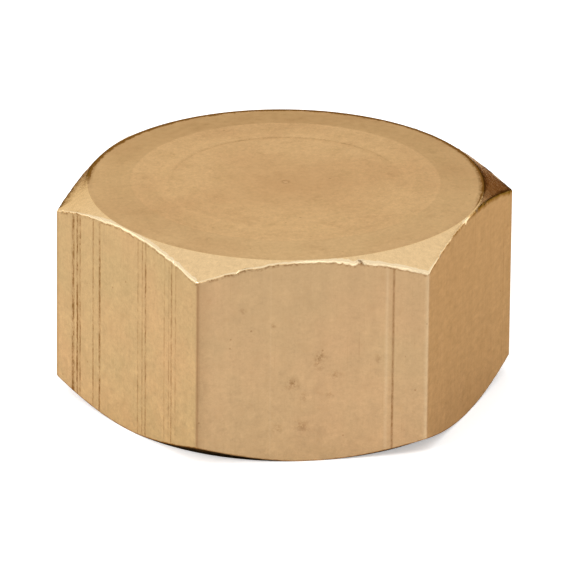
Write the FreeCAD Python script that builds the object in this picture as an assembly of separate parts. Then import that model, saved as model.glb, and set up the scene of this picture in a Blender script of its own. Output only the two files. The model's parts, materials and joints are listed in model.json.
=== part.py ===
"""Hexagon pipe cap for a 3/4 inch parallel pipe thread, with its captive sealing washer.

The cap is turned from drawn hexagon brass bar: both ends are chamfered, the closed end is faced
with a sloping rim and a shallow dish, and the open end is bored, relieved and threaded. The washer
is snapped past the thread into the relief and lies on the seat.

Frame: millimetres, +Z up along the thread's axis, origin at the centre of the open end's face.
The hexagon has two corners on the X axis.
"""

import FreeCAD
import Part
import math
import os

# Thread: 14 turns per inch, Whitworth form.
THREAD_MAJOR_DIAMETER = 26.441
THREAD_PITCH = 1.814
THREAD_DEPTH_PER_PITCH = 0.640327
THREADED_DEPTH = 9.8  # from the open end's face to the last turn

# Mouth: a 45 degree cone that opens wider than the thread.
MOUTH_CLEARANCE = 0.4

# Relief behind the thread, where the washer lies.
RELIEF_CLEARANCE = 0.15
RELIEF_RUN_OUT = 0.9
RELIEF_FILLET = 0.3

# The hexagon bar, and its walls around the relief.
HEXAGON_SIDES = 6
WALL_AT_FLATS = 1.6295  # makes the hexagon 30 mm across flats
END_WALL = 3.7
BAR_CORNER_RADIUS = 0.2

# Turned chamfers, which leave a round land just inside the flats at each end.
LAND_SETBACK = 0.06
CLOSED_END_CHAMFER_ANGLE = 30.0
OPEN_END_CHAMFER_ANGLE = 30.0

# Closed end's face, from its edge inwards: sloping rim, flat land, shallow dish.
RIM_WIDTH = 3.3
RIM_DROP = 0.2
FLAT_LAND_WIDTH = 3.1
DISH_DEPTH = 0.08

# Mark that the drill leaves in the middle of the seat.
DRILL_MARK_DIAMETER = 5.0
DRILL_POINT_ANGLE = 118.0

# Sealing washer: it is wider than the thread's bore, so the relief holds it.
WASHER_BORE = 17.0
WASHER_THICKNESS = 2.0
WASHER_SIDE_GAP = 0.7
WASHER_BEVEL_WIDTH = 0.7
WASHER_BEVEL_HEIGHT = 0.45

# Radii and heights that follow from the sizes above.
THREAD_MINOR_RADIUS = THREAD_MAJOR_DIAMETER / 2 - THREAD_DEPTH_PER_PITCH * THREAD_PITCH
MOUTH_RADIUS = THREAD_MAJOR_DIAMETER / 2 + MOUTH_CLEARANCE
RELIEF_RADIUS = THREAD_MAJOR_DIAMETER / 2 + RELIEF_CLEARANCE
FLAT_RADIUS = RELIEF_RADIUS + WALL_AT_FLATS
CORNER_RADIUS = FLAT_RADIUS / math.cos(math.pi / HEXAGON_SIDES)
LAND_RADIUS = FLAT_RADIUS - LAND_SETBACK

MOUTH_DEPTH = MOUTH_RADIUS - THREAD_MINOR_RADIUS
SEAT_HEIGHT = THREADED_DEPTH + RELIEF_RUN_OUT + WASHER_THICKNESS
CAP_HEIGHT = SEAT_HEIGHT + END_WALL
RIM_EDGE_HEIGHT = CAP_HEIGHT - RIM_DROP

# How far a cutting or bounding solid reaches past the surface that it cuts.
OVERSHOOT = 1.0


def point(radius, height):
    """A point of a turned profile, in the XZ plane."""
    return FreeCAD.Vector(radius, 0, height)


def turned(edges):
    """The solid that a closed profile of edges sweeps around the Z axis."""
    face = Part.Face(Part.Wire(edges))
    return face.revolve(FreeCAD.Vector(0, 0, 0), FreeCAD.Vector(0, 0, 1), 360)


def lines(points):
    """Straight edges from each point to the next."""
    return [Part.LineSegment(a, b).toShape() for a, b in zip(points, points[1:])]


def hexagon_bar():
    """A length of drawn bar: a hexagonal prism with slightly rounded corners."""
    turns = [2 * math.pi * k / HEXAGON_SIDES for k in range(HEXAGON_SIDES)]
    corners = [FreeCAD.Vector(math.cos(t), math.sin(t), 0) * CORNER_RADIUS for t in turns]
    outline = Part.Wire(lines(corners + corners[:1]))
    bar = Part.Face(outline).extrude(FreeCAD.Vector(0, 0, CAP_HEIGHT))
    upright = [e for e in bar.Edges if abs(e.Vertexes[0].Z - e.Vertexes[1].Z) > CAP_HEIGHT / 2]
    return bar.makeFillet(BAR_CORNER_RADIUS, upright)


def turned_envelope():
    """What the lathe leaves of the bar's outside: two chamfers and the faced closed end."""
    reach = CORNER_RADIUS + OVERSHOOT
    open_rise = (reach - LAND_RADIUS) * math.tan(math.radians(OPEN_END_CHAMFER_ANGLE))
    closed_fall = (reach - LAND_RADIUS) * math.tan(math.radians(CLOSED_END_CHAMFER_ANGLE))
    flat_outer = LAND_RADIUS - RIM_WIDTH
    flat_inner = flat_outer - FLAT_LAND_WIDTH
    profile = [
        point(0, 0),
        point(LAND_RADIUS, 0),
        point(reach, open_rise),
        point(reach, RIM_EDGE_HEIGHT - closed_fall),
        point(LAND_RADIUS, RIM_EDGE_HEIGHT),
        point(flat_outer, CAP_HEIGHT),
        point(flat_inner, CAP_HEIGHT),
        point(0, CAP_HEIGHT - DISH_DEPTH),
        point(0, 0),
    ]
    return turned(lines(profile))


def bored_hollow():
    """The space inside: mouth cone, thread bore, relief with a filleted seat corner, drill mark."""
    mark_radius = DRILL_MARK_DIAMETER / 2
    mark_depth = mark_radius / math.tan(math.radians(DRILL_POINT_ANGLE / 2))
    fillet_centre = point(RELIEF_RADIUS - RELIEF_FILLET, SEAT_HEIGHT - RELIEF_FILLET)
    diagonal = RELIEF_FILLET * math.cos(math.pi / 4)
    before_fillet = [
        point(0, -OVERSHOOT),
        point(MOUTH_RADIUS + OVERSHOOT, -OVERSHOOT),
        point(THREAD_MINOR_RADIUS, MOUTH_DEPTH),
        point(THREAD_MINOR_RADIUS, THREADED_DEPTH),
        point(RELIEF_RADIUS, THREADED_DEPTH),
        fillet_centre + point(RELIEF_FILLET, 0),
    ]
    after_fillet = [
        fillet_centre + point(0, RELIEF_FILLET),
        point(mark_radius, SEAT_HEIGHT),
        point(0, SEAT_HEIGHT + mark_depth),
        point(0, -OVERSHOOT),
    ]
    fillet = Part.Arc(before_fillet[-1], fillet_centre + point(diagonal, diagonal), after_fillet[0])
    return turned(lines(before_fillet) + [fillet.toShape()] + lines(after_fillet))


def cap_body():
    """The brass cap, one piece of bar."""
    return hexagon_bar().common(turned_envelope()).cut(bored_hollow())


def sealing_washer():
    """The flat rubber ring that the pipe's end presses against the seat."""
    bore = WASHER_BORE / 2
    outer = RELIEF_RADIUS - WASHER_SIDE_GAP
    flat = outer - WASHER_BEVEL_WIDTH
    top = SEAT_HEIGHT
    bottom = SEAT_HEIGHT - WASHER_THICKNESS
    profile = [
        point(bore, bottom),
        point(flat, bottom),
        point(outer, bottom + WASHER_BEVEL_HEIGHT),
        point(outer, top - WASHER_BEVEL_HEIGHT),
        point(flat, top),
        point(bore, top),
        point(bore, bottom),
    ]
    return turned(lines(profile))


def write(name, shape):
    """Checks that a piece is one sound solid, and writes it."""
    solids = shape.Solids
    if len(solids) != 1 or not solids[0].isValid():
        raise ValueError(name + " is not one valid solid")
    solids[0].exportStep(os.path.join("parts", name + ".step"))
    print(name, "volume", round(solids[0].Volume, 1), "mm3")


os.makedirs("parts", exist_ok=True)
write("cap_body", cap_body())
write("sealing_washer", sealing_washer())
print("across flats", round(2 * FLAT_RADIUS, 3), "height", round(CAP_HEIGHT, 3))
print("thread bore radius", round(THREAD_MINOR_RADIUS, 4))
print("thread wall from", round(MOUTH_DEPTH, 4), "to", THREADED_DEPTH)
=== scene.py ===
"""Dresses the hexagon pipe cap: a brass body with its real edges, marks and thread, and a rubber washer.

The body and the washer are modelled here from the frame's sizes and stand for the two CAD nodes.
Lengths are in millimetres in the making of the meshes, and in metres once they are Blender objects.
"""

import json
import math
import random

import bpy
from mathutils import Matrix, Vector, noise


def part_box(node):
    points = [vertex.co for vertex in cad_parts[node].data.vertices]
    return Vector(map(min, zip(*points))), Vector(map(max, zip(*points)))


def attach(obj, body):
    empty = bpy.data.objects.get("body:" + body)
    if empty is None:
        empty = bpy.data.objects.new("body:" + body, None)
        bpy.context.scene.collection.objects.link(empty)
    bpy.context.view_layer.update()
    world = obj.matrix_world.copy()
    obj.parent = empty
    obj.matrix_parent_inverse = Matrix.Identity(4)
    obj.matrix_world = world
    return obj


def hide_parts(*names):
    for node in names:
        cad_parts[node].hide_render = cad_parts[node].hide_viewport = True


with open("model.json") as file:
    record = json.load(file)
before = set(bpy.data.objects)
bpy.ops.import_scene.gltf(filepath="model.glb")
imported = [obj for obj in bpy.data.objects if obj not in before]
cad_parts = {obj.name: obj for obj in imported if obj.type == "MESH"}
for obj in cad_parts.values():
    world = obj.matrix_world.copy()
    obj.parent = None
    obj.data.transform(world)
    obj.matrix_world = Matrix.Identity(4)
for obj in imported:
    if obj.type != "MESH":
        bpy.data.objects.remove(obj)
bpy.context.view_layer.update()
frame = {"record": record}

MM = 0.001
FULL_TURN = 2 * math.pi

# The photographed view, fitted to the cap's corners and circles.
VIEW_AZIMUTH = -8.154
VIEW_ELEVATION = 23.016
VIEW_ROLL = 0.614
VIEW_DISTANCE = 712.7
VIEW_SHIFT_RIGHT = 0.418
VIEW_SHIFT_UP = -0.659
VIEW_LENS = 586.98
SENSOR_WIDTH = 36.0

# Sizes that the frame's boxes don't give.
SIDES = 6
LAND_SETBACK = 0.06
CHAMFER_SLOPE = math.tan(math.radians(30))
BAR_CORNER_RADIUS = 0.2
RIM_WIDTH = 3.3
RIM_DROP = 0.2
FLAT_LAND_WIDTH = 3.1
DISH_DEPTH = 0.08
MOUTH_CLEARANCE = 0.4
WASHER_SIDE_GAP = 0.7
RELIEF_FILLET = 0.3
DRILL_MARK_RADIUS = 2.5
DRILL_HALF_ANGLE = math.radians(59)

# Whitworth thread form.
THREAD_PITCH = 1.814
THREAD_DEPTH = 0.640327 * THREAD_PITCH
THREAD_ROUND = 0.137329 * THREAD_PITCH
FLANK_ANGLE = math.radians(27.5)

# Sizes that the frame gives.
FLAT_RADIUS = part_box("cap_body")[1].y / MM
CAP_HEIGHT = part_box("cap_body")[1].z / MM
WASHER_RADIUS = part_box("sealing_washer")[1].x / MM
WASHER_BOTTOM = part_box("sealing_washer")[0].z / MM
SEAT_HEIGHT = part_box("sealing_washer")[1].z / MM
THREAD_MOUNT = next(m for m in frame["record"]["mounts"] if m["name"] == "pipe_thread")
THREAD_MINOR = THREAD_MOUNT["dims"]["r_mm"]
THREAD_MAJOR = THREAD_MINOR + THREAD_DEPTH
THREAD_END = THREAD_MOUNT["pos_m"][2] / MM + THREAD_MOUNT["dims"]["length_mm"] / 2

CORNER_RADIUS = FLAT_RADIUS / math.cos(math.pi / SIDES)
SIDE_LENGTH = 2 * FLAT_RADIUS * math.tan(math.pi / SIDES)
LAND_RADIUS = FLAT_RADIUS - LAND_SETBACK
RIM_EDGE_HEIGHT = CAP_HEIGHT - RIM_DROP
RIM_INNER_RADIUS = LAND_RADIUS - RIM_WIDTH
DISH_RADIUS = RIM_INNER_RADIUS - FLAT_LAND_WIDTH
MOUTH_RADIUS = THREAD_MAJOR + MOUTH_CLEARANCE
RELIEF_RADIUS = WASHER_RADIUS + WASHER_SIDE_GAP

# Real surfaces lie this far inside the nominal ones, which leaves room for raised marks.
SKIN_INSET = 0.02

# Broken edges: how far the rounding reaches on each side of an edge.
EDGE_REACH = 0.05
ARC_REACH = 0.1
EDGE_SHARE = 0.45
EDGE_STEPS = 4


def new_object(name, data):
    """A Blender object in the scene."""
    made = bpy.data.objects.new(name, data)
    bpy.context.scene.collection.objects.link(made)
    return made


def make_camera():
    """The camera at the photograph's viewing angle."""
    azimuth, elevation, roll = map(math.radians, (VIEW_AZIMUTH, VIEW_ELEVATION, VIEW_ROLL))
    level = math.cos(elevation)
    back = Vector((math.sin(azimuth) * level, -math.cos(azimuth) * level, math.sin(elevation)))
    level_right = Vector((math.cos(azimuth), math.sin(azimuth), 0))
    level_up = back.cross(level_right)
    right = level_right * math.cos(roll) + level_up * math.sin(roll)
    up = level_up * math.cos(roll) - level_right * math.sin(roll)
    aim = Vector((0, 0, CAP_HEIGHT / 2)) + right * VIEW_SHIFT_RIGHT + up * VIEW_SHIFT_UP
    place = (aim + back * VIEW_DISTANCE) * MM

    data = bpy.data.cameras.new("photo_camera")
    data.sensor_width = SENSOR_WIDTH
    data.lens = VIEW_LENS
    data.clip_start = 0.01
    data.clip_end = 10
    camera = new_object("photo_camera", data)
    turn = Matrix((right, up, back)).transposed().to_4x4()
    camera.matrix_world = Matrix.Translation(place) @ turn
    bpy.context.scene.camera = camera


# What every point of a surface knows for its material: the length along the bar's outline, how dark its
# broken stain is (dirt and dark lines, and painted shade at the foot, round the back of the land's edge and
# on some arcs), how dark its painted shade (above 0) or how bright its painted highlight (below 0) is, how
# far it is from the closed end's arc (above 0 on the flats, below 0 on the chamfers), and how bright that
# arc's edge is: wear with a painted highlight.
ATTRIBUTES = ("perimeter", "stain", "shade", "from_arc", "arc_light")


class Skin:
    """A closed surface that grows ring by ring, with a material number on every face."""

    def __init__(self):
        self.points = []
        self.faces = []
        self.finishes = []
        self.values = {attribute: [] for attribute in ATTRIBUTES}

    def ring(self, points, **values):
        """Adds a ring of points, with the values of their attributes, and returns their numbers."""
        start = len(self.points)
        self.points.extend(points)
        for attribute, known in self.values.items():
            known.extend(values.get(attribute) or [0.0] * len(points))
        return list(range(start, len(self.points)))

    def join(self, ring, following, finish):
        """Joins two rings: with quads where their counts are the same, and with triangles elsewhere."""
        count = len(ring)
        if count != len(following):
            self.zip_up(ring, following, finish)
            return
        for i in range(count):
            j = (i + 1) % count
            self.faces.append((ring[i], following[i], following[j], ring[j]))
            self.finishes.append(finish)

    def join_all(self, rings, finish):
        """Joins each ring to the next."""
        for ring, following in zip(rings, rings[1:]):
            self.join(ring, following, finish)

    def angle(self, number):
        """The turn of a point about the axis, from 0 to a full turn."""
        x, y, _ = self.points[number]
        return math.atan2(y, x) % FULL_TURN

    def zip_up(self, ring, following, finish):
        """Joins two rings of different counts with triangles, by the points' turns."""
        first = sorted(ring, key=self.angle)
        second = sorted(following, key=self.angle)
        i = j = 0
        while i < len(first) or j < len(second):
            a, b = first[i % len(first)], second[j % len(second)]
            next_a, next_b = first[(i + 1) % len(first)], second[(j + 1) % len(second)]
            turn_a = self.angle(next_a) + FULL_TURN * (i + 1 >= len(first))
            turn_b = self.angle(next_b) + FULL_TURN * (j + 1 >= len(second))
            if j >= len(second) or (i < len(first) and turn_a < turn_b):
                self.faces.append((a, b, next_a))
                i += 1
            else:
                self.faces.append((a, b, next_b))
                j += 1
            self.finishes.append(finish)

    def close(self, ring, point, finish):
        """Closes a ring with a fan of triangles to one point."""
        centre = self.ring([point])[0]
        for i, number in enumerate(ring):
            self.faces.append((number, centre, ring[(i + 1) % len(ring)]))
            self.finishes.append(finish)

    def to_object(self, name, materials):
        """The Blender mesh object, in metres, shaded smooth with normals that follow the large faces."""
        mesh = bpy.data.meshes.new(name)
        mesh.from_pydata([Vector(p) * MM for p in self.points], [], self.faces)
        for material in materials:
            mesh.materials.append(material)
        mesh.polygons.foreach_set("material_index", self.finishes)
        mesh.polygons.foreach_set("use_smooth", [True] * len(self.faces))
        for attribute, values in self.values.items():
            mesh.attributes.new(attribute, "FLOAT", "POINT").data.foreach_set("value", values)
        mesh.validate()
        obj = new_object(name, mesh)
        obj.modifiers.new("large_faces_lead", "WEIGHTED_NORMAL").mode = "FACE_AREA"
        return obj


def rounded(before, corner, after, reach, reach_after=None, steps=EDGE_STEPS):
    """Points of a small curve that replaces a profile's corner, from the side before to the side after."""
    before, corner, after = Vector(before), Vector(corner), Vector(after)
    start = corner + (before - corner).normalized() * reach
    end = corner + (after - corner).normalized() * (reach_after or reach)
    shares = [i / steps for i in range(steps + 1)]
    return [start * (1 - s) ** 2 + corner * (2 * s * (1 - s)) + end * s ** 2 for s in shares]


# Draw lines that the die leaves along a flat: (share of the flat's width, width, depth).
LEFT_DRAW_LINES = [
    (0.122, 0.5, 0.014), (0.152, 0.34, 0.015), (0.172, 0.3, 0.011), (0.266, 0.26, 0.009),
    (0.3125, 0.34, 0.013), (0.586, 0.24, 0.006), (0.617, 0.24, 0.006), (0.64, 0.3, 0.009),
    (0.773, 0.22, 0.004), (0.805, 0.22, 0.005), (0.823, 0.3, 0.008), (0.852, 0.24, 0.005),
]
FRONT_DRAW_LINES = [(0.32, 0.2, -0.0006), (0.82, 0.4, -0.002), (0.848, 0.24, 0.008)]
RIGHT_DRAW_LINES = [(0.9, 0.14, 0.006)]
BACK_RIGHT_FLAT, BACK_FLAT, BACK_LEFT_FLAT, LEFT_FLAT, FRONT_FLAT, RIGHT_FLAT = range(SIDES)
BACK_FLATS = (BACK_RIGHT_FLAT, BACK_FLAT, BACK_LEFT_FLAT)
DARKEST_LINE_DEPTH = 0.012

# The draw lines of the flats at the back, whose places, widths and depths are drawn from these ranges.
DRAW_LINE_SEED = 41
DRAW_LINES_PER_FLAT = 6
LINE_PLACES = (0.06, 0.94)
LINE_WIDTHS = (0.14, 0.24)
LINE_DEPTHS = (0.004, 0.014)


def draw_lines():
    """The draw lines of each flat: those of the photographed flats, and seeded ones on the others."""
    chance = random.Random(DRAW_LINE_SEED)
    lines = {LEFT_FLAT: LEFT_DRAW_LINES, FRONT_FLAT: FRONT_DRAW_LINES, RIGHT_FLAT: RIGHT_DRAW_LINES}
    for flat in BACK_FLATS:
        lines[flat] = [
            (chance.uniform(*LINE_PLACES), chance.uniform(*LINE_WIDTHS), chance.uniform(*LINE_DEPTHS))
            for _ in range(DRAW_LINES_PER_FLAT)
        ]
    return lines


# Burrs on the closed end's arcs: (flat, share of the flat's width, width, outward, drop).
BURRS = [
    (FRONT_FLAT, 0.61, 0.5, 0.02, 0.08),
    (FRONT_FLAT, 0.64, 0.5, 0.02, 0.1),
    (FRONT_FLAT, 0.672, 0.7, 0.02, 0.22),
    (FRONT_FLAT, 0.72, 0.4, -0.05, 0.06),
    (FRONT_FLAT, 0.09, 0.4, -0.02, 0.04),
    (FRONT_FLAT, 0.17, 0.5, -0.02, 0.05),
    (FRONT_FLAT, 0.3, 0.4, -0.02, 0.03),
    (RIGHT_FLAT, 0.12, 0.3, -0.06, 0.05),
    (RIGHT_FLAT, 0.43, 0.4, 0.02, 0.22),
    (RIGHT_FLAT, 0.56, 0.35, -0.08, 0.06),
    (LEFT_FLAT, 0.04, 0.4, -0.05, 0.06),
    (BACK_FLAT, 0.35, 0.3, 0.02, 0.1),
    (BACK_FLAT, 0.6, 0.25, -0.08, 0.06),
    (BACK_LEFT_FLAT, 0.25, 0.3, -0.08, 0.06),
    (BACK_RIGHT_FLAT, 0.7, 0.3, 0.02, 0.1),
]

# The arcs' unevenness: waves and nicks, each from a layer of noise of its own, and the share of it that
# also pushes the arc inward.
RAGGED_DEPTH = 0.09
RAGGED_PER_MM = 1.9
RAGGED_LAYER = 0.5
NICK_DEPTH = 0.04
NICKS_PER_MM = 3.1
NICK_LAYER = 7.5
INWARD_SHARE = 0.5
CLOSED_END_SEED = 11.0
OPEN_END_SEED = 23.0

FLAT_COLUMNS = 130
CORNER_STEPS = 5
CLOSEST_COLUMNS = 0.025

# Places across a draw line or burr where it needs a column, as shares of its width.
MARK_COLUMNS = (-0.5, -0.25, 0, 0.25, 0.5)


class Column:
    """One upright line of the body's outside: its place, its flat and its place along the perimeter."""

    def __init__(self, x, y, outward, flat, along):
        self.x, self.y = x, y
        self.outward = outward
        self.flat = flat
        self.along = along
        self.radius = math.hypot(x, y)
        self.turn = Vector((x / self.radius, y / self.radius))
        self.perimeter = flat * SIDE_LENGTH + along

    def nearness(self, centre, width):
        """1 in the middle of a mark on this column's flat, and 0 beside the mark."""
        return max(0.0, 1 - abs(self.along - centre * SIDE_LENGTH) / (width / 2))

    def at(self, radius, height):
        """A point at that radius, in this column's direction."""
        return (self.turn.x * radius, self.turn.y * radius, height)


def places_along_flat(marks):
    """Places of the columns along one flat: even ones, and closer ones at its marks."""
    margin = BAR_CORNER_RADIUS * math.tan(math.pi / SIDES)
    span = SIDE_LENGTH - 2 * margin
    needed = sorted(
        centre * SIDE_LENGTH + width * share
        for centre, width in marks
        for share in MARK_COLUMNS
    )
    places = [p for p in needed if margin < p < margin + span]
    for i in range(FLAT_COLUMNS + 1):
        even = margin + span * i / FLAT_COLUMNS
        if all(abs(even - p) > CLOSEST_COLUMNS for p in needed):
            places.append(even)
    places.sort()
    return [p for i, p in enumerate(places) if i == 0 or p - places[i - 1] > CLOSEST_COLUMNS / 2]


def make_columns(lines):
    """All columns of the outside, in order round the axis."""
    columns = []
    radius = BAR_CORNER_RADIUS
    inset_flat = FLAT_RADIUS - SKIN_INSET
    centre_distance = (inset_flat - radius) / math.cos(math.pi / SIDES)
    for flat in range(SIDES):
        corner_turn = FULL_TURN * flat / SIDES
        for step in range(1, CORNER_STEPS):
            turn = corner_turn + math.pi / SIDES * (2 * step / CORNER_STEPS - 1)
            outward = Vector((math.cos(turn), math.sin(turn)))
            x = centre_distance * math.cos(corner_turn) + radius * outward.x
            y = centre_distance * math.sin(corner_turn) + radius * outward.y
            along = radius * (turn - corner_turn)
            columns.append(Column(x, y, outward, flat, along))
        facing = corner_turn + math.pi / SIDES
        outward = Vector((math.cos(facing), math.sin(facing)))
        sideways = Vector((-outward.y, outward.x))
        marks = [(u, width) for u, width, _ in lines[flat]]
        marks += [(u, width) for burr_flat, u, width, _, _ in BURRS if burr_flat == flat]
        for along in places_along_flat(marks):
            place = outward * inset_flat + sideways * (along - SIDE_LENGTH / 2)
            columns.append(Column(place.x, place.y, outward, flat, along))
    return columns


# Soft painted shade and highlights along the bar, most of them at its corners: (corner, offset from it,
# half width, darkness), where below 0 is a painted highlight; the one 14.69 from corner 4 is a dark draw
# line.
SHADES = [
    (0, 0.0, 0.15, -0.4),
    (1, 0.08, 0.2, 0.4),
    (2, 0.0, 0.15, -0.4),
    (3, 0.1, 0.3, 0.3),
    (4, 0.08, 0.2, 0.5),
    (4, 0.4, 0.9, 0.14),
    (4, 14.69, 0.15, 0.4),
    (5, -0.06, 0.26, -0.22),
]
DIE_WAVE_DEPTH = 0.004
DIE_WAVES_ACROSS = 0.35
DIE_WAVES_ALONG = 0.08
DIE_WAVE_LAYER = 2.0

# How a draw line comes and goes along the bar: its usual share of its depth, the swing of that share, its
# limits, how fast it changes, and what sets the lines apart.
LINE_SHARE = 0.85
LINE_SWING = 0.6
LINE_LIMITS = (0.2, 1.3)
LINE_CHANGES_PER_MM = 0.35
LINE_SPREAD = 90


def line_depth(column, height, lines):
    """How deep the draw lines cut into the flat at one point."""
    depth = 0.0
    for centre, width, deepest in lines[column.flat]:
        place = (centre * LINE_SPREAD, height * LINE_CHANGES_PER_MM, column.flat)
        share = LINE_SHARE + LINE_SWING * noise.noise(place)
        depth += deepest * column.nearness(centre, width) * min(max(share, LINE_LIMITS[0]), LINE_LIMITS[1])
    return depth


def shade_at(column):
    """How dark (above 0) or bright (below 0) the painted shade and highlights make a column's metal."""
    shade = 0.0
    for corner, offset, half_width, darkness in SHADES:
        distance = abs(column.perimeter - corner * SIDE_LENGTH - offset)
        distance = min(distance, SIDES * SIDE_LENGTH - distance)
        shade += darkness * max(0.0, 1 - distance / half_width)
    return shade


def groove_depth(column, height, lines):
    """How deep the draw lines and the die's waves cut into the flat at one point."""
    place = (column.perimeter * DIE_WAVES_ACROSS, height * DIE_WAVES_ALONG, DIE_WAVE_LAYER)
    return DIE_WAVE_DEPTH * noise.noise(place) + line_depth(column, height, lines)


def burr_shift(column):
    """How far the closed end's arc is pushed outward and down at a column."""
    outward = drop = 0.0
    for flat, centre, width, burr_outward, burr_drop in BURRS:
        if flat == column.flat:
            swell = 1 - (1 - column.nearness(centre, width)) ** 2
            outward += burr_outward * swell
            drop += burr_drop * swell
    return outward, drop


# How bright the arc's worn edge is at points of the left, front and right flats, with a painted highlight
# that is brightest on the left and front flats and mostly dim on the right one: (share of its width, light).
ARC_LIGHTS = {
    LEFT_FLAT: [(0.0, 0.1), (0.15, 0.25), (0.35, 0.85), (1.0, 0.95)],
    FRONT_FLAT: [(0.0, 0.25), (0.4, 0.42), (0.55, 1.0), (1.0, 1.0)],
    RIGHT_FLAT: [(0.0, 0.7), (0.12, 0.25), (0.39, 0.1), (0.42, 1.0), (0.44, 1.0), (0.47, 0.1), (1.0, 0.1)],
}

# The same on the flats at the back, where noise moves it about this light.
PLAIN_ARC_LIGHT = 0.35
PLAIN_ARC_SWING = 0.6
PLAIN_ARC_CHANGES_PER_MM = 0.4
PLAIN_ARC_LAYERS = (5.0, 0.5)

# How dark the same edge is: a nick on the front flat, and dirt with painted shade on the right flat's far
# half and where the back flats reach the sides.
CLEAN = [(0.0, 0.0), (1.0, 0.0)]
ARC_DIRT_AND_SHADE = {
    BACK_RIGHT_FLAT: [(0.0, 1.4), (0.3, 1.0), (0.6, 0.3), (1.0, 0.0)],
    BACK_FLAT: CLEAN,
    BACK_LEFT_FLAT: [(0.0, 0.0), (0.4, 0.3), (0.7, 1.0), (1.0, 1.4)],
    LEFT_FLAT: CLEAN,
    FRONT_FLAT: [(0.0, 0.0), (0.685, 0.0), (0.7, 1.3), (0.72, 0.0), (1.0, 0.0)],
    RIGHT_FLAT: [(0.0, 0.0), (0.36, 0.3), (0.4, 0.0), (0.46, 0.0), (0.5, 0.8), (0.6, 1.4), (1.0, 1.4)],
}


def by_place(column, known):
    """The value at a column's place along its flat, between the known ones."""
    share = min(max(column.along / SIDE_LENGTH, 0.0), 1.0)
    for (start, start_value), (end, end_value) in zip(known, known[1:]):
        if share <= end:
            return start_value + (end_value - start_value) * (share - start) / (end - start)
    return known[-1][1]


def arc_light(column):
    """How bright the closed end's worn arc edge is at a column, from 0 to 1, with a painted highlight."""
    if column.flat in ARC_LIGHTS:
        return by_place(column, ARC_LIGHTS[column.flat])
    place = (column.perimeter * PLAIN_ARC_CHANGES_PER_MM, *PLAIN_ARC_LAYERS)
    return PLAIN_ARC_LIGHT + PLAIN_ARC_SWING * noise.noise(place)


def raggedness(column, seed):
    """The small unevenness of a turned edge that cuts a flat."""
    waves = RAGGED_DEPTH * noise.noise((column.perimeter * RAGGED_PER_MM, seed, RAGGED_LAYER))
    return waves + NICK_DEPTH * noise.noise((column.perimeter * NICKS_PER_MM, seed, NICK_LAYER))


# The foot's chamfer is cut a little deeper round one corner.
DEEP_FOOT_CORNER = 4
DEEP_FOOT_RISE = 0.14
DEEP_FOOT_REACH = 7.0

# The foot's arcs are sharper and smoother than those of the closed end.
FOOT_REACH = 0.04
FOOT_RAGGED_SHARE = 0.4


def foot_rise(column):
    """How much higher the foot's chamfer reaches at a column."""
    distance = abs(column.perimeter - DEEP_FOOT_CORNER * SIDE_LENGTH)
    return DEEP_FOOT_RISE * max(0.0, 1 - (distance / DEEP_FOOT_REACH) ** 2)


# How much of a burr's shift outward and down each point of the arc's rounding takes.
OUTWARD_SHARES = (0.0, 0.7, 1.0, 0.8, 0.2)
DROP_SHARES = (0.0, 0.6, 1.0, 1.0, 0.9)

DRAWN, FACED, CHAMFERED, BORED, SHADED = range(5)
CHAMFER_ROWS = 3
SIDE_ROWS = 16


def chamfer_profile(column, inner, land_height, sign, seed):
    """The profile across one chamfer: land edge, cone and arc, as (radius, height) points.

    inner is a profile point on the land's side, and sign is 1 at the closed end, -1 at the open end.
    """
    land = Vector((LAND_RADIUS - SKIN_INSET, land_height))
    width = column.radius - land.x
    reach = ARC_REACH if sign > 0 else FOOT_REACH
    depth = width * CHAMFER_SLOPE + (foot_rise(column) if sign < 0 else 0.0)
    arc = Vector((column.radius, land_height - sign * depth))
    room = EDGE_SHARE * (arc - land).length
    first = rounded(inner, land, arc, EDGE_REACH, min(EDGE_REACH, room))
    last = rounded(land, arc, arc - Vector((0, sign)), min(reach, room), reach)
    between = [first[-1].lerp(last[0], (i + 1) / (CHAMFER_ROWS + 1)) for i in range(CHAMFER_ROWS)]

    outward, drop = burr_shift(column) if sign > 0 else (0.0, 0.0)
    ragged = raggedness(column, seed) * (1.0 if sign > 0 else FOOT_RAGGED_SHARE)
    outward -= abs(ragged) * INWARD_SHARE
    fall = -sign * (drop + ragged)
    shares = zip(OUTWARD_SHARES, DROP_SHARES)
    last = [p + Vector((outward * share, fall * fall_share)) for p, (share, fall_share) in zip(last, shares)]
    for place in last:
        place.y = sign * min(sign * place.y, sign * land_height)
    return first, between, last


# The chamfer beside the land's edge is darkened from the right side round the back to the left side of the
# closed end, most at the sides: painted shade, of which the cone takes a share.
LAND_SHADE_STRENGTH = 1.4
LAND_SHADE_TURNS = (math.radians(-24), math.radians(178))
LAND_SHADE_FADE = math.radians(12)
CONE_SHADE_SHARE = 0.22
BACK_ARC_SHARE = 0.4


def back_land_shade(column):
    """How dark the land's edge is painted in a column's direction, as shade at the sides and back."""
    turn = math.atan2(column.turn.y, column.turn.x)
    inside = min(turn - LAND_SHADE_TURNS[0], LAND_SHADE_TURNS[1] - turn) / LAND_SHADE_FADE
    return LAND_SHADE_STRENGTH * min(max(inside, 0.0), 1.0) * math.sqrt(abs(column.turn.x))


# Turned marks of the closed end's face.
SCRIBED_RADIUS = 8.7
SCRIBED_WIDTH = 0.4
SCRIBED_DEPTH = 0.012
SCRIBED_FRONT_SHARE = 0.12
SCRIBED_STAIN = 0.35
SCRIBED_OFF_CENTRE = 0.12
PIP_RADIUS = 0.28
PIP_HEIGHT = 0.05
PIP_STAIN = 0.5
FACE_COARSE_RADIUS = 4.0
FACE_COARSE_COUNT = 240
FACE_ROW_STEP = 0.55

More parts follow.
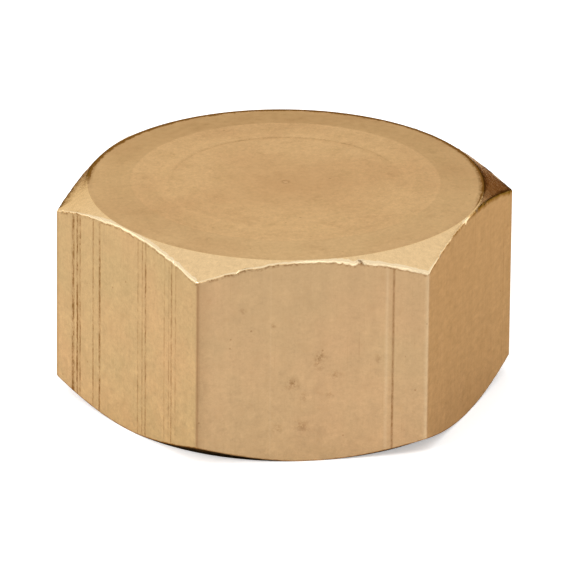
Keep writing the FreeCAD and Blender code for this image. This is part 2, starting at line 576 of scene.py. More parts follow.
# Where rows of points lie: at shares of the pip's and the middle's radii, at shares of the scribed ring's
# width from its middle, and beside the rim's inner edge.
PIP_ROWS = (0.5, 1.0, 1.5)
MIDDLE_ROWS = (0.3, 0.5, 0.75, 1.0)
SCRIBED_ROWS = (-1.6, -0.5, -0.25, 0, 0.25, 0.5, 1.6)
RIM_ROWS = (-0.12, 0, 0.12)


def scribed_share(x, y):
    """How much of the scribed ring is at a place: it is deepest at the back, and shallow in front."""
    offset = abs(math.hypot(x - SCRIBED_OFF_CENTRE, y) - SCRIBED_RADIUS) / (SCRIBED_WIDTH / 2)
    if offset >= 1:
        return 0.0
    return max(SCRIBED_FRONT_SHARE, y / SCRIBED_RADIUS) * (1 - offset)


def face_height(x, y):
    """Height of the closed end's face: sloping rim, flat land, scribed ring, shallow dish, pip."""
    radius = math.hypot(x, y)
    height = CAP_HEIGHT - SKIN_INSET
    if radius > RIM_INNER_RADIUS:
        height -= RIM_DROP * (radius - RIM_INNER_RADIUS) / RIM_WIDTH
    if radius < DISH_RADIUS:
        height -= DISH_DEPTH * (1 - radius / DISH_RADIUS)
    height -= SCRIBED_DEPTH * scribed_share(x, y)
    if radius < PIP_RADIUS:
        height += PIP_HEIGHT * (1 - radius / PIP_RADIUS)
    return height


def face_radii():
    """Radii of the closed end's rows outside the coarse middle: even ones, and close ones at its marks."""
    marks = [SCRIBED_RADIUS + SCRIBED_WIDTH * share for share in SCRIBED_ROWS]
    marks += [RIM_INNER_RADIUS + offset for offset in RIM_ROWS]
    rows = int((LAND_RADIUS - FACE_COARSE_RADIUS) / FACE_ROW_STEP)
    even = [FACE_COARSE_RADIUS + FACE_ROW_STEP * (i + 1) for i in range(rows)]
    kept = [r for r in even if all(abs(r - m) > FACE_ROW_STEP / 3 for m in marks)]
    return sorted(kept + marks)


def near_ring(column, radius):
    """A row's radius, shifted beside the scribed ring so that the row follows that ring."""
    nearness = max(0.0, 1 - abs(radius - SCRIBED_RADIUS) / FACE_ROW_STEP)
    return radius + SCRIBED_OFF_CENTRE * column.turn.x * nearness


def even_ring(radius, height, count):
    """Points of a round ring at one height."""
    turns = [FULL_TURN * i / count for i in range(count)]
    return [(radius * math.cos(t), radius * math.sin(t), height) for t in turns]


def build_closed_end(skin, columns, perimeters):
    """The closed end's face, from its middle to its land, and its last ring."""
    middle_radii = [PIP_RADIUS * share for share in PIP_ROWS]
    middle_radii += [FACE_COARSE_RADIUS * share for share in MIDDLE_ROWS]
    rings = []
    for radius in middle_radii:
        points = [(x, y, face_height(x, y)) for x, y, _ in even_ring(radius, 0, FACE_COARSE_COUNT)]
        rings.append(skin.ring(points, stain=[PIP_STAIN * (radius == PIP_RADIUS)] * len(points)))
    for radius in face_radii():
        points, stains = [], []
        for column in columns:
            x, y, _ = column.at(near_ring(column, radius), 0)
            points.append((x, y, face_height(x, y)))
            stains.append(SCRIBED_STAIN * scribed_share(x, y))
        rings.append(skin.ring(points, perimeter=perimeters, stain=stains))
    skin.close(rings[0][::-1], (0, 0, face_height(0, 0)), FACED)
    skin.join_all(rings, FACED)
    return rings[-1]


# The middle point of the arc's rounding, which stands for the arc itself.
ARC_ROW = EDGE_STEPS // 2


def from_arc(top, place):
    """How far a place on an upright profile is from the closed end's arc: above 0 below it, on the flats."""
    arc = top[2][ARC_ROW]
    distance = (arc - place).length
    return distance if place.y < arc.y else -distance


class Outside:
    """The bar's outside between the two lands: its columns, and their profiles at both ends."""

    def __init__(self, skin, lines):
        self.skin = skin
        self.lines = lines
        self.columns = make_columns(lines)
        self.perimeters = [c.perimeter for c in self.columns]
        self.arc_lights = [arc_light(c) for c in self.columns]
        self.shades = [shade_at(c) for c in self.columns]
        self.tops = [
            chamfer_profile(c, (0, RIM_EDGE_HEIGHT), RIM_EDGE_HEIGHT - SKIN_INSET, 1, CLOSED_END_SEED)
            for c in self.columns
        ]
        self.lows = [chamfer_profile(c, (0, 0), 0.0, -1, OPEN_END_SEED) for c in self.columns]

    def chamfer_ring(self, profiles, part, row, stains=None):
        """The ring that one row of one part of all the profiles makes."""
        places = [profile[part][row] for profile in profiles]
        points = [c.at(place.x, place.y) for c, place in zip(self.columns, places)]
        distances = [from_arc(top, place) for top, place in zip(self.tops, places)]
        return self.marked_ring(points, stains, distances)

    def marked_ring(self, points, stains, distances, shades=None):
        """A ring with one point on every column, which knows what its materials ask for."""
        return self.skin.ring(
            points,
            perimeter=self.perimeters,
            stain=stains,
            shade=shades,
            from_arc=distances,
            arc_light=self.arc_lights,
        )

    def flat_ring(self, share):
        """The ring across the flats at a share of the way down from the upper arc to the lower one."""
        points, stains, distances = [], [], []
        for column, top, low in zip(self.columns, self.tops, self.lows):
            upper, lower = top[2][-1].y, low[2][-1].y
            height = upper + (lower - upper) * share
            depth = groove_depth(column, height, self.lines)
            points.append((
                column.x - column.outward.x * depth,
                column.y - column.outward.y * depth,
                height,
            ))
            stains.append(line_depth(column, height, self.lines) / DARKEST_LINE_DEPTH)
            distances.append(from_arc(top, Vector((column.radius, height))))
        return self.marked_ring(points, stains, distances, self.shades)


# Shares of the way down the flats: close rows below the arc, where its marks are, then even ones, and
# the row where the dark line of the foot starts, which is painted shade where the cap meets the floor.
CLOSE_SHARES = (0.02, 0.045)
FOOT_SHARE = 0.995
FOOT_SHADE_LINE = 0.6


def build_outside(skin, lines):
    """The closed end, both chamfers, the six flats and the open end's land; returns its last ring."""
    outside = Outside(skin, lines)
    ring = build_closed_end(skin, outside.columns, outside.perimeters)

    def join_to(following, finish):
        nonlocal ring
        skin.join(ring, following, finish)
        ring = following

    # Painted shade on the land's edge and, in part, on the cone, with the arcs' dark on the back flats'
    # cone.
    land_edge_shading = [back_land_shade(c) for c in outside.columns]
    for row in range(EDGE_STEPS + 1):
        join_to(outside.chamfer_ring(outside.tops, 0, row, land_edge_shading), CHAMFERED if row else FACED)
    # The arcs' dark: dirt with painted shade, and one nick.
    arc_grime_and_shade = [by_place(c, ARC_DIRT_AND_SHADE[c.flat]) for c in outside.columns]
    cone_grime_and_shade = [stain * CONE_SHADE_SHARE for stain in land_edge_shading]
    for row in range(CHAMFER_ROWS):
        if row == CHAMFER_ROWS - 1:
            cone_grime_and_shade = [
                stain + near_arc * BACK_ARC_SHARE * (c.flat in BACK_FLATS)
                for stain, near_arc, c in zip(cone_grime_and_shade, arc_grime_and_shade, outside.columns)
            ]
        join_to(outside.chamfer_ring(outside.tops, 1, row, cone_grime_and_shade), CHAMFERED)
    for row in range(EDGE_STEPS + 1):
        join_to(outside.chamfer_ring(outside.tops, 2, row, arc_grime_and_shade), CHAMFERED)

    for share in (*CLOSE_SHARES, *(row / SIDE_ROWS for row in range(1, SIDE_ROWS)), FOOT_SHARE):
        join_to(outside.flat_ring(share), DRAWN)
    # The foot's dark line: painted shade along the lowest edge of the flats.
    foot_shade_line = [FOOT_SHADE_LINE] * len(outside.columns)
    for row in range(EDGE_STEPS, -1, -1):
        foot_ring = outside.chamfer_ring(outside.lows, 2, row, foot_shade_line)
        join_to(foot_ring, DRAWN if row == EDGE_STEPS else SHADED)
    for row in range(CHAMFER_ROWS - 1, -1, -1):
        join_to(outside.chamfer_ring(outside.lows, 1, row), SHADED)
    for row in range(EDGE_STEPS, -1, -1):
        join_to(outside.chamfer_ring(outside.lows, 0, row), SHADED)
    return ring


INSIDE_COLUMNS = 280
ROWS_PER_PITCH = 14

# Radii of the seat's rows, and the drill mark's broken edge and rows, as shares of its radius.
SEAT_ROWS = (11.0, 9.0, 7.0, 5.0)
DRILL_EDGE_WIDTH = 0.1
DRILL_EDGE_HEIGHT = 0.01
DRILL_ROWS = (0.66, 0.33, 0.08)
MOUTH_EDGE_SHARE = 0.7


def thread_radius(turn, height):
    """Radius of the thread's surface: a right-handed helix of the rounded form, cut by the mouth's cone."""
    phase = (height / THREAD_PITCH - turn / FULL_TURN) % 1
    from_root = min(phase, 1 - phase) * THREAD_PITCH
    from_crest = THREAD_PITCH / 2 - from_root
    round_half = THREAD_ROUND * math.cos(FLANK_ANGLE)
    if from_root < round_half:
        form = THREAD_MAJOR - THREAD_ROUND + math.sqrt(THREAD_ROUND ** 2 - from_root ** 2)
    elif from_crest < round_half:
        form = THREAD_MINOR + THREAD_ROUND - math.sqrt(THREAD_ROUND ** 2 - from_crest ** 2)
    else:
        middle = (THREAD_MAJOR + THREAD_MINOR) / 2
        form = middle + (THREAD_PITCH / 4 - from_root) / math.tan(FLANK_ANGLE)
    return max(form, MOUTH_RADIUS - height)


def build_inside(skin, outside_ring):
    """The mouth, the thread, the relief, the seat and the drill mark."""
    turns = [FULL_TURN * i / INSIDE_COLUMNS for i in range(INSIDE_COLUMNS)]
    rows = math.ceil(THREAD_END / THREAD_PITCH * ROWS_PER_PITCH)
    rings = [skin.ring(even_ring(MOUTH_RADIUS + EDGE_REACH, 0.0, INSIDE_COLUMNS))]
    skin.join(outside_ring, rings[0], CHAMFERED)
    for row in range(rows + 1):
        height = max(THREAD_END * row / rows, EDGE_REACH * MOUTH_EDGE_SHARE)
        reaches = [thread_radius(t, height) for t in turns]
        rings.append(skin.ring([(r * math.cos(t), r * math.sin(t), height) for r, t in zip(reaches, turns)]))

    relief = [(RELIEF_RADIUS - EDGE_REACH, THREAD_END), (RELIEF_RADIUS, THREAD_END + EDGE_REACH)]
    seat_corner = rounded(
        (RELIEF_RADIUS, THREAD_END), (RELIEF_RADIUS, SEAT_HEIGHT), (0, SEAT_HEIGHT), RELIEF_FILLET
    )
    relief += [tuple(p) for p in seat_corner]
    relief += [(radius, SEAT_HEIGHT) for radius in (*SEAT_ROWS, DRILL_MARK_RADIUS + DRILL_EDGE_WIDTH)]
    relief += [(DRILL_MARK_RADIUS, SEAT_HEIGHT + DRILL_EDGE_HEIGHT)]
    mark_depth = DRILL_MARK_RADIUS / math.tan(DRILL_HALF_ANGLE)
    relief += [(DRILL_MARK_RADIUS * s, SEAT_HEIGHT + mark_depth * (1 - s)) for s in DRILL_ROWS]
    rings += [skin.ring(even_ring(radius, height, INSIDE_COLUMNS)) for radius, height in relief]
    skin.join_all(rings, BORED)
    skin.close(rings[-1], (0, 0, SEAT_HEIGHT + mark_depth), BORED)


def make_cap(materials):
    """The cap's body as one closed mesh, which stands for the CAD node."""
    skin = Skin()
    outside_ring = build_outside(skin, draw_lines())
    build_inside(skin, outside_ring)
    cap = skin.to_object("brass_cap", materials)
    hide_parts("cap_body")
    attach(cap, "root")


WASHER_BORE = 8.5
WASHER_COLUMNS = 240
WASHER_EDGE = 0.3
WASHER_BEVEL_WIDTH = 0.7
WASHER_BEVEL_HEIGHT = 0.45


def make_washer(material):
    """The rubber washer: a moulded ring with soft bevels, which stands for the CAD node."""
    flat = WASHER_RADIUS - WASHER_BEVEL_WIDTH
    top = SEAT_HEIGHT - SKIN_INSET
    corners = [
        (WASHER_BORE, WASHER_BOTTOM),
        (flat, WASHER_BOTTOM),
        (WASHER_RADIUS, WASHER_BOTTOM + WASHER_BEVEL_HEIGHT),
        (WASHER_RADIUS, top - WASHER_BEVEL_HEIGHT),
        (flat, top),
        (WASHER_BORE, top),
    ]
    profile = []
    for i, corner in enumerate(corners):
        profile += rounded(corners[i - 1], corner, corners[(i + 1) % len(corners)], WASHER_EDGE / 2, steps=3)
    skin = Skin()
    rings = [skin.ring(even_ring(p.x, p.y, WASHER_COLUMNS)) for p in profile]
    for i, ring in enumerate(rings):
        skin.join(ring, rings[i - 1], 0)
    washer = skin.to_object("rubber_washer", [material])
    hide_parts("sealing_washer")
    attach(washer, "root")


class Value:
    """A number, vector or colour that a shader node gives, and that plain arithmetic works on."""

    def __init__(self, node, output=0):
        self.socket = node.outputs[output]
        self.tree = node.id_data

    def __add__(self, other):
        return calculate("ADD", self, other)

    def __sub__(self, other):
        return calculate("SUBTRACT", self, other)

    def __mul__(self, other):
        return calculate("MULTIPLY", self, other)

    def __truediv__(self, other):
        return calculate("DIVIDE", self, other)


def connect(node, inputs):
    """Gives inputs of a node other nodes' values, or constants."""
    for name, value in inputs.items():
        if isinstance(value, Value):
            node.id_data.links.new(value.socket, node.inputs[name])
        else:
            node.inputs[name].default_value = value


def add(tree, kind, inputs=(), **settings):
    """A shader node with its settings and its inputs."""
    made = tree.nodes.new("ShaderNode" + kind)
    for name, setting in settings.items():
        setattr(made, name, setting)
    connect(made, dict(inputs))
    return made


def calculate(operation, *numbers):
    """The result of one operation on numbers, at least one of which comes from a node."""
    tree = next(number.tree for number in numbers if isinstance(number, Value))
    return Value(add(tree, "Math", dict(enumerate(numbers)), operation=operation))


def blend_colours(share, first, second):
    """Two colours mixed by a share."""
    return Value(add(share.tree, "Mix", {0: share, 6: first, 7: second}, data_type="RGBA"), 2)


def brightened(colour, tone):
    """A colour times a number."""
    return Value(add(tone.tree, "VectorMath", {0: colour, "Scale": tone}, operation="SCALE"))


def scaled(value, low, high, to_low, to_high):
    """A number stretched from one range to another, and kept inside it."""
    return Value(add(value.tree, "MapRange", {0: value, 1: low, 2: high, 3: to_low, 4: to_high}))


def grain(place, scale, detail=3.0, rough=0.55):
    """Noise from 0 to 1 at a place."""
    inputs = {"Vector": place, "Scale": scale, "Detail": detail, "Roughness": rough}
    return Value(add(place.tree, "TexNoise", inputs))


def joined(x, y, z):
    """A vector from three numbers, the first of which comes from a node."""
    return Value(add(x.tree, "CombineXYZ", {0: x, 1: y, 2: z}))


def millimetres(tree):
    """The place on the object in millimetres, as a vector and as its three numbers."""
    place = Value(add(tree, "TexCoord"), "Object")
    in_mm = Value(add(tree, "VectorMath", {0: place, "Scale": 1 / MM}, operation="SCALE"))
    parts = add(tree, "SeparateXYZ", {0: in_mm})
    return in_mm, Value(parts, 0), Value(parts, 1), Value(parts, 2)


def radius_at(x, y):
    """The distance from the axis."""
    return calculate("SQRT", x * x + y * y)


def attribute(tree, name):
    """A value that the points of the surface know."""
    return Value(add(tree, "Attribute", attribute_name=name), "Fac")


def new_material(name):
    """An empty material, with its node tree and its shader."""
    material = bpy.data.materials.new(name)
    material.use_nodes = True
    shader = material.node_tree.nodes["Principled BSDF"]
    return material, material.node_tree, shader


WHITE = (1, 1, 1, 1)
BRASS = (0.515, 0.358, 0.181, 1)
FACED_BRASS = (0.694, 0.47, 0.249, 1)
PINK_BRASS = (0.58, 0.358, 0.184, 1)
# Darker rosier brass: painted shade on the front flat and more on the right one.
ROSY_SHADE_BRASS = (0.448, 0.272, 0.146, 1)
YELLOW_BRASS = (0.6, 0.412, 0.208, 1)
FRESH_BRASS = (0.805, 0.566, 0.3, 1)
# Light brass of wear, also the colour of painted highlights.
WORN_AND_HIGHLIGHT_BRASS = (0.88, 0.7, 0.45, 1)
# Dark brown of dirt and dark lines, also the colour of painted shade.
GRIME_AND_SHADE = (0.19, 0.08, 0.02, 1)
# The deepest brown, for the darkest dirt and painted shade.
DEEP_DIRT_AND_SHADE = (0.03, 0.014, 0.005, 1)
EDGE_TINT = (0.84, 0.65, 0.43, 1)
RUBBER = (0.018, 0.018, 0.019, 1)
DUSTY_RUBBER = (0.06, 0.058, 0.055, 1)

# How strongly the fine relief shows.
BRASS_BUMP = 0.6
RUBBER_BUMP = 0.5

# Stains are broken up by grain that is stretched upright.
STAIN_STRETCH = (1.0, 1.0, 0.4)


def mottled_brass(place, base=BRASS):
    """Brass whose colour wanders between pinker, yellower and plain patches."""
    pink = scaled(grain(place, 0.16), 0.42, 0.7, 0, 0.6)
    yellow = scaled(grain(place, 0.55, 4), 0.5, 0.75, 0, 0.45)
    colour = blend_colours(pink, base, PINK_BRASS)
    colour = blend_colours(yellow, colour, YELLOW_BRASS)
    return brightened(colour, scaled(grain(place, 3.2, 5, 0.85), 0.3, 0.7, 0.86, 1.14))


def with_stains_and_shade(colour, place):
    """A colour with the surface's broken stains and its painted soft shade and highlights on it."""
    stain = attribute(place.tree, "stain")
    shade = attribute(place.tree, "shade")
    stretched = Value(add(place.tree, "VectorMath", {0: place, 1: STAIN_STRETCH}, operation="MULTIPLY"))
    steady = scaled(stain, 0.8, 1.4, 0.1, 0.7)
    breaks = scaled(grain(stretched, 3.6, 6, 0.85), 0.44, 0.56, steady, 1.0)
    # Stains above 0 darken, as dirt and dark lines and as painted shade at the foot, the land's edge and
    # some arcs; below 0 they lighten.
    colour = blend_colours(scaled(stain, 0, 0.8, 0, 0.95) * breaks, colour, GRIME_AND_SHADE)
    colour = blend_colours(scaled(stain, 0, -0.8, 0, 0.7), colour, WORN_AND_HIGHLIGHT_BRASS)
    # Shade above 0 is painted shade, and below 0 painted highlight.
    colour = blend_colours(scaled(shade, 0, 1, 0, 1), colour, GRIME_AND_SHADE)
    return blend_colours(scaled(shade, 0, -1, 0, 1), colour, WORN_AND_HIGHLIGHT_BRASS)


def arc_wear_and_highlight(colour, place):
    """A colour with the closed end's arc on it: a bright ragged edge, and dark nibbles below it."""
    distance = attribute(place.tree, "from_arc")
    light = attribute(place.tree, "arc_light")
    # The bright edge is wear with a painted highlight, wider and brighter where arc_light is high; the
    # nibbles below it are darkest where it is low.
    reach = scaled(grain(place, 1.1, 5, 0.75), 0.3, 0.7, 0.12, 0.3) * light
    bright = scaled(reach - calculate("ABSOLUTE", distance), 0, 0.04, 0, 0.9)

    below = distance - reach
    entering = scaled(below, -0.03, 0.03, 0, 1)
    leaving = scaled(below, 0.05, scaled(light, 0, 1, 0.34, 0.16), 1, 0)
    nibbles = scaled(grain(place, 2.2, 4, 0.8), 0.46, 0.58, 0, 1)
    dark = entering * leaving * nibbles * scaled(light, 0, 1, 1.0, 0.6)
    return blend_colours(dark, blend_colours(bright, colour, WORN_AND_HIGHLIGHT_BRASS), GRIME_AND_SHADE)


def specks(place, scale, size, share):
    """A mask of small dark specks, with most of them left out."""
    cells = add(place.tree, "TexVoronoi", {"Vector": place, "Scale": scale}, feature="F1")
    dot = scaled(Value(cells, "Distance"), size * 0.5, size, 1, 0)
    lottery = Value(add(place.tree, "SeparateColor", {0: Value(cells, "Color")}))
    return dot * calculate("LESS_THAN", lottery, share)


def give_relief(shader, relief, strength):
    """Gives a shader its fine relief: pairs of a pattern and its height in millimetres."""
    total = 0.0
    for pattern, height in relief:
        total = pattern * height + total
    bump = add(shader.id_data, "Bump", {"Height": total, "Strength": strength, "Distance": MM})
    connect(shader, {"Normal": Value(bump)})


def finish_brass(shader, colour, roughness, relief):
    """Connects a metal's colour, roughness and relief."""
    metal = {"Base Color": colour, "Roughness": roughness, "Metallic": 1.0, "Specular Tint": EDGE_TINT}
    connect(shader, metal)
    give_relief(shader, relief, BRASS_BUMP)


# Brown blotches on the photographed front flat: (share of its width, height, radius, darkness).
BLOTCHES = [
    (0.415, 6.3, 0.36, 0.9), (0.53, 8.4, 0.3, 1.0), (0.53, 7.7, 0.26, 0.6), (0.6, 6.9, 0.28, 0.6),
    (0.58, 5.3, 0.22, 0.5), (0.47, 5.2, 0.24, 0.5), (0.46, 2.9, 0.34, 0.6), (0.35, 2.8, 0.3, 0.5),
    (0.79, 8.0, 0.24, 0.5), (0.2, 12.4, 0.2, 0.5), (0.34, 10.9, 0.16, 0.6),
]
BLOTCH_WARP = 0.7

# How far on each side of a corner the flats' colours blend.
CORNER_BLEND = 0.1


def blotches(along, z, place):
    """A mask of the front flat's blotches, each with a broken outline."""
    outline = grain(place, 2.4, 5, 0.75)
    bend = (grain(place, 1.3, 2) - 0.5) * BLOTCH_WARP
    here = joined(along + bend, z - bend, 0.0)
    mask = 0.0
    for share, height, radius, darkness in BLOTCHES:
        centre = (SIDE_LENGTH * (FRONT_FLAT + share), height, 0.0)
        distance = Value(add(place.tree, "VectorMath", {0: here, 1: centre}, operation="DISTANCE"), "Value")
        mask = calculate("MAXIMUM", mask, scaled(distance, 0, radius * 2, darkness, 0))
    return mask * scaled(outline, 0.45, 0.56, 0.05, 1)


def past_corner(along, corner, before, after):
    """A number that changes where the place along the outline passes a corner."""
    middle = corner * SIDE_LENGTH
    return scaled(along, middle - CORNER_BLEND, middle + CORNER_BLEND, before, after)


def drawn_brass():
    """The flats, as the die leaves them: upright hairlines, stained lines, blotches and soft patches."""
    material, tree, shader = new_material("drawn_brass")
    place, _, _, z = millimetres(tree)
    along = attribute(tree, "perimeter")
    hairlines = grain(joined(along, 0.0, z * 0.03), 6.0, 4, 0.7)
    broad_lines = grain(joined(along, 3.0, z * 0.012), 0.9, 3)
    dots = specks(place, 1.3, 0.13, 0.12)
    spots = blotches(along, z, place)

    # Painted shade: the front flat, and the right one more, turn to a darker rosier brass.
    on_right = past_corner(along, RIGHT_FLAT, 0.4, 0.9)
    rosy_shade = on_right * past_corner(along, FRONT_FLAT, 0, 1)
    colour = blend_colours(rosy_shade, mottled_brass(place), ROSY_SHADE_BRASS)
    dark_lines = scaled(hairlines, 0.62, 0.8, 0, scaled(on_right, 0.4, 0.9, 0.3, 0.12))
    smudges = scaled(grain(place, 0.8, 7, 0.8), 0.55, 0.75, 0, 0.3)
    for darkening in (dark_lines, smudges, spots * 0.75, dots * 0.4):
        colour = blend_colours(darkening, colour, GRIME_AND_SHADE)
    colour = with_stains_and_shade(arc_wear_and_highlight(colour, place), place)

    peel = (grain(place, 1.3, 5, 0.8) - 0.5) * scaled(z, 2, 14, 0.42, 0.16)
    pores = grain(joined(along * 0.45, 0.0, z), 2.4, 4, 0.75) - 0.5
    peel = pores * past_corner(along, RIGHT_FLAT, 0.1, 0.6) + peel
    # The broad lines vary the tone; painted light makes the flats a little brighter towards the foot.
    tone = broad_lines * 0.1 + scaled(z, 0, 13, 0.775, 0.725)
    colour = brightened(colour, tone + peel)

    roughness = scaled(hairlines, 0.25, 0.75, 0.34, 0.46)
    fine = grain(place, 9.0, 3, 0.6)
    relief = [(hairlines, 0.005), (fine, 0.005), (spots, -0.006), (dots, -0.02)]
    finish_brass(shader, colour, roughness, relief)
    return material


def turned_rings(x, y, place, per_mm):
    """The spiral marks of a lathe tool: noise that follows the radius, broken up a little."""
    wander = grain(place, 0.4, 2) * 0.3
    return grain(joined(radius_at(x, y) + wander, 0.0, 0.0), per_mm, 3, 0.6)


# The painted shade along the closed end's land edge: its width at the sides, how much wider it gets
# towards the back, and how far its ends are turned, so that it reaches further forward on the right.
FACE_EDGE_SHADE_WIDTH = 0.22
FACE_EDGE_SHADE_WIDENING = 0.022
FACE_EDGE_SHADE_TURN = 0.3


def shaded_face_edge(colour, place, radius, x, y):
    """A colour with the dark line of painted shade on it that follows the land's edge round the back."""
    from_edge = calculate("SUBTRACT", LAND_RADIUS - SKIN_INSET, radius)
    width = calculate("MAXIMUM", y, 0.0) * FACE_EDGE_SHADE_WIDENING + FACE_EDGE_SHADE_WIDTH
    width = width * scaled(grain(place, 1.4, 4, 0.7), 0.35, 0.65, 0.6, 1.2)
    behind = scaled(x * FACE_EDGE_SHADE_TURN + y, -3.0, -1.0, 0, 1)
    line = scaled(from_edge / width, 0.75, 1.0, 0.9, 0)
    return blend_colours(line * behind, colour, GRIME_AND_SHADE)


def faced_brass():
    """The closed end's face: fine lathe rings, soft patches, and painted shade at the back of its rim."""
    material, tree, shader = new_material("faced_brass")
    place, x, y, _ = millimetres(tree)
    radius = radius_at(x, y)
    rings = turned_rings(x, y, place, 4.0)
    broad_rings = turned_rings(x, y, place, 0.6)
    dots = specks(place, 0.9, 0.11, 0.14)

    on_rim = scaled(radius, RIM_INNER_RADIUS - 0.05, RIM_INNER_RADIUS + 0.05, 0, 0.3)
    colour = blend_colours(on_rim, mottled_brass(place, FACED_BRASS), BRASS)
    colour = blend_colours(scaled(radius, 1.0, 7.0, 0.6, 0), colour, PINK_BRASS)
    smudges = scaled(grain(place, 0.7, 7, 0.85), 0.5, 0.75, 0, 0.24)
    # Painted shade: the rim darkens in streaks towards the back.
    back_rim_shade = scaled(grain(place, 1.6, 5, 0.8), 0.45, 0.7, 0, 1) * on_rim * scaled(y, 4, 12, 0, 1)
    for darkening in (smudges, dots * 0.3, back_rim_shade):
        colour = blend_colours(darkening, colour, GRIME_AND_SHADE)
    # Painted shade along the face's edge round the back.
    colour = shaded_face_edge(with_stains_and_shade(colour, place), place, radius, x, y)
    colour = brightened(colour, scaled(broad_rings, 0.3, 0.7, 0.96, 1.04))

    fine = grain(place, 7.0, 4, 0.65)
    finish_brass(shader, colour, scaled(rings, 0.2, 0.8, 0.36, 0.46), [(rings, 0.004), (fine, 0.004)])
    return material


def chamfered_brass():
    """The closed end's chamfers and the open end's land: a smoother turned finish."""
    material, tree, shader = new_material("chamfered_brass")
    place, x, y, _ = millimetres(tree)
    rings = turned_rings(x, y, place, 5.0)
    fine = grain(place, 8.0, 4, 0.65)

    tone = scaled(grain(place, 2.6, 6, 0.8), 0.3, 0.7, 0.85, 1.1)
    colour = with_stains_and_shade(arc_wear_and_highlight(brightened(FRESH_BRASS[:3], tone), place), place)
    # The darkest stains go darker still: painted shade on the land's edge, and dirt with painted shade on
    # some arcs.
    darkest = scaled(attribute(tree, "stain"), 0.8, 1.4, 0, 0.75)
    colour = blend_colours(darkest, colour, DEEP_DIRT_AND_SHADE)
    relief = [(rings, 0.003), (fine, 0.008), (grain(place, 2.2, 4, 0.7), 0.02)]
    finish_brass(shader, colour, scaled(fine, 0.2, 0.8, 0.18, 0.3), relief)
    return material


def shaded_brass():
    """The open end's chamfer, darkened brown: painted shade where the foot meets the floor."""
    material, tree, shader = new_material("shaded_brass")
    place = millimetres(tree)[0]
    fine = grain(place, 3.0, 5, 0.65)
    # Painted shade: the chamfer's colour and its edge tint are mostly dark brown.
    colour = blend_colours(scaled(fine, 0.3, 0.7, 0.55, 0.9), mottled_brass(place), GRIME_AND_SHADE)
    finish_brass(shader, colour, scaled(fine, 0.2, 0.8, 0.3, 0.42), [(fine, 0.005)])
    connect(shader, {"Specular Tint": GRIME_AND_SHADE})
    return material


def bored_brass():
    """The inside: bright cut metal with the tool's chatter along the thread."""
    material, tree, shader = new_material("bored_brass")
    place, x, y, z = millimetres(tree)
    turn = calculate("ARCTAN2", y, x)
    chatter = grain(joined(turn * 0.8, z, radius_at(x, y)), 4.0, 4, 0.65)
    fine = grain(place, 6.0, 4, 0.6)
    colour = blend_colours(scaled(fine, 0.55, 0.9, 0, 0.4), mottled_brass(place), GRIME_AND_SHADE)
    finish_brass(shader, colour, scaled(chatter, 0.2, 0.8, 0.2, 0.34), [(chatter, 0.006), (fine, 0.003)])
    return material


def washer_rubber():
    """Moulded black rubber with a dusty bloom."""
    material, tree, shader = new_material("washer_rubber")
    place = millimetres(tree)[0]
    bloom = scaled(grain(place, 0.8, 5, 0.65), 0.45, 0.8, 0, 0.7)
    fine = grain(place, 9.0, 3, 0.6)
    colour = blend_colours(bloom, RUBBER, DUSTY_RUBBER)
    connect(shader, {"Base Color": colour, "Roughness": scaled(fine, 0.2, 0.8, 0.55, 0.75)})
    give_relief(shader, [(fine, 0.01)], RUBBER_BUMP)
    return material


def seen_directly(tree):
    """1 for the rays of the camera and of mirrors and glass, which show the background, and 0 for others."""
    rays = add(tree, "LightPath")
    mirrored = calculate("MAXIMUM", Value(rays, "Is Glossy Ray"), Value(rays, "Is Transmission Ray"))
    return calculate("MAXIMUM", Value(rays, "Is Camera Ray"), mirrored)


def make_sheet(name, points, faces, colour):
    """A dull sheet of the stage; returns its object and its shader."""
    mesh = bpy.data.meshes.new(name)
    mesh.from_pydata(points, [], faces)
    sheet = new_object(name, mesh)

    material, _, shader = new_material(name)
    connect(shader, {"Base Color": colour, "Roughness": 1.0, "Specular IOR Level": 0.0})
    mesh.materials.append(material)
    return sheet, shader


FLOOR_HALF_SIZE = 1.2
FLOOR_COLOUR = (0.93, 0.93, 0.93, 1)
FLOOR_GLOW = 0.38


def make_floor():
    """A plain white floor that keeps the object's shadow."""
    half = FLOOR_HALF_SIZE
    corners = [(-half, -half, 0), (half, -half, 0), (half, half, 0), (-half, half, 0)]
    _, shader = make_sheet("floor", corners, [(0, 1, 2, 3)], FLOOR_COLOUR)
    glow = seen_directly(shader.id_data) * FLOOR_GLOW
    connect(shader, {"Emission Color": WHITE, "Emission Strength": glow})


BACK_HORIZON_LIGHT = (0.6, 0.56, 0.52, 1)
FRONT_HORIZON_LIGHT = (1.0, 0.97, 0.93, 1)
MIDDLE_LIGHT = (1.08, 1.07, 1.05, 1)
OVERHEAD_LIGHT = (1.15, 1.17, 1.2, 1)


def make_world():
    """Studio light that grows from the horizon up, behind a background that is seen as white."""
    world = bpy.data.worlds.new("studio")
    world.use_nodes = True
    bpy.context.scene.world = world
    tree = world.node_tree
    parts = add(tree, "SeparateXYZ", {0: Value(add(tree, "TexCoord"), "Generated")})
    height = Value(parts, 2)
    front = scaled(Value(parts, 0) * 0.5 + Value(parts, 1), 0.3, -0.1, 0, 1)
    colour = blend_colours(front, BACK_HORIZON_LIGHT, FRONT_HORIZON_LIGHT)
    colour = blend_colours(scaled(height, 0.08, 0.42, 0, 1), colour, MIDDLE_LIGHT)
    colour = blend_colours(scaled(height, 0.42, 1.0, 0, 1), colour, OVERHEAD_LIGHT)
    colour = blend_colours(seen_directly(tree), colour, WHITE)
    connect(tree.nodes["Background"], {"Color": colour})


def make_card(name, points, faces, colour):
    """A dull card of the stage that only the metal's reflections show; returns its shader."""
    card, shader = make_sheet(name, points, faces, colour)
    card.visible_camera = False
    card.visible_diffuse = False
    card.visible_shadow = False
    return shader


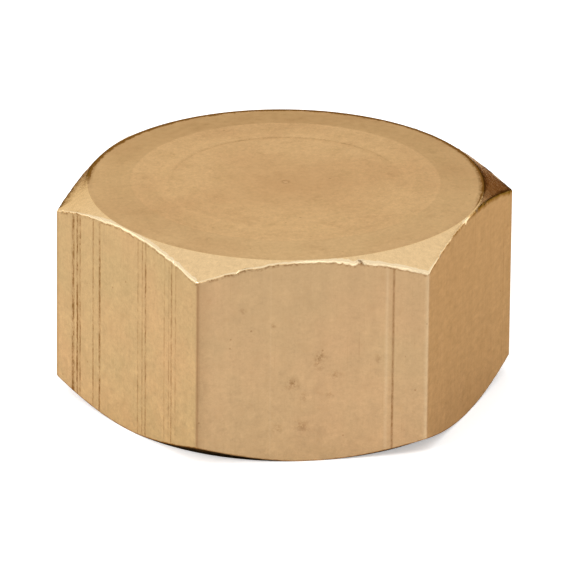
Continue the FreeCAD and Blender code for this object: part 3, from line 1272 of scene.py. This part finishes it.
BACK_CARD_RADIUS = 0.155
BACK_CARD_TURNS = (40, 60, 76, 108)
BACK_CARD_HEIGHTS = (0.085, 0.08, 0.045, 0.038)
BACK_CARD_STEPS = 8
BACK_CARD_COLOUR = (0.156, 0.08, 0.029, 1)


def make_back_card():
    """A curved card low behind the cap, tall on its right, which gives the chamfers contrast."""
    rims = list(zip(BACK_CARD_TURNS, BACK_CARD_HEIGHTS))
    points = []
    for (turn, height), (next_turn, next_height) in zip(rims, rims[1:]):
        for step in range(BACK_CARD_STEPS + 1):
            share = step / BACK_CARD_STEPS
            angle = math.radians(turn + (next_turn - turn) * share)
            foot = (BACK_CARD_RADIUS * math.cos(angle), BACK_CARD_RADIUS * math.sin(angle))
            points += [(*foot, 0.0), (*foot, height + (next_height - height) * share)]
    faces = [(i, i + 1, i + 3, i + 2) for i in range(0, len(points) - 2, 2)]
    make_card("back_card", points, faces, BACK_CARD_COLOUR)


# A painted contact shadow under the cap, which only the metal's reflections show.
CONTACT_INSET = 0.1
CONTACT_HEIGHT = 0.01
CONTACT_SHADOW_WIDTH = 1.1
CONTACT_FADE = 0.6
CONTACT_SHADOW_COLOUR = (0.008, 0.005, 0.003, 1)


def make_contact_shadow():
    """A hexagon on the floor below the cap, darkest in the gap that the foot's chamfer mirrors."""
    # Painted contact shadow, darkest next to the land.
    reach = CORNER_RADIUS - CONTACT_INSET
    points = []
    for corner in range(SIDES):
        turn = FULL_TURN * corner / SIDES
        points.append(Vector((reach * math.cos(turn), reach * math.sin(turn), CONTACT_HEIGHT)) * MM)
    shader = make_card("contact_card", points, [tuple(range(SIDES))], CONTACT_SHADOW_COLOUR)
    _, x, y, _ = millimetres(shader.id_data)
    dark_radius = LAND_RADIUS + CONTACT_SHADOW_WIDTH
    share = scaled(radius_at(x, y), dark_radius, dark_radius + CONTACT_FADE, 0, 1)
    connect(shader, {"Base Color": blend_colours(share, CONTACT_SHADOW_COLOUR, FLOOR_COLOUR)})


KEY_LAMP_PLACE = (-0.5, -0.35, 0.35)
KEY_LAMP_SIZE = 0.2
KEY_LAMP_WATTS = 2.6


def make_key_lamp():
    """A square soft lamp that faces the cap."""
    data = bpy.data.lights.new("key_lamp", "AREA")
    data.shape = "SQUARE"
    data.size = KEY_LAMP_SIZE
    data.energy = KEY_LAMP_WATTS
    lamp = new_object("key_lamp", data)
    lamp.location = KEY_LAMP_PLACE
    lamp.rotation_euler = Vector(KEY_LAMP_PLACE).to_track_quat("Z", "Y").to_euler()


bpy.context.scene.view_settings.view_transform = "Standard"
make_camera()
make_world()
make_floor()
make_back_card()
make_contact_shadow()
make_key_lamp()
make_cap([drawn_brass(), faced_brass(), chamfered_brass(), bored_brass(), shaded_brass()])
make_washer(washer_rubber())
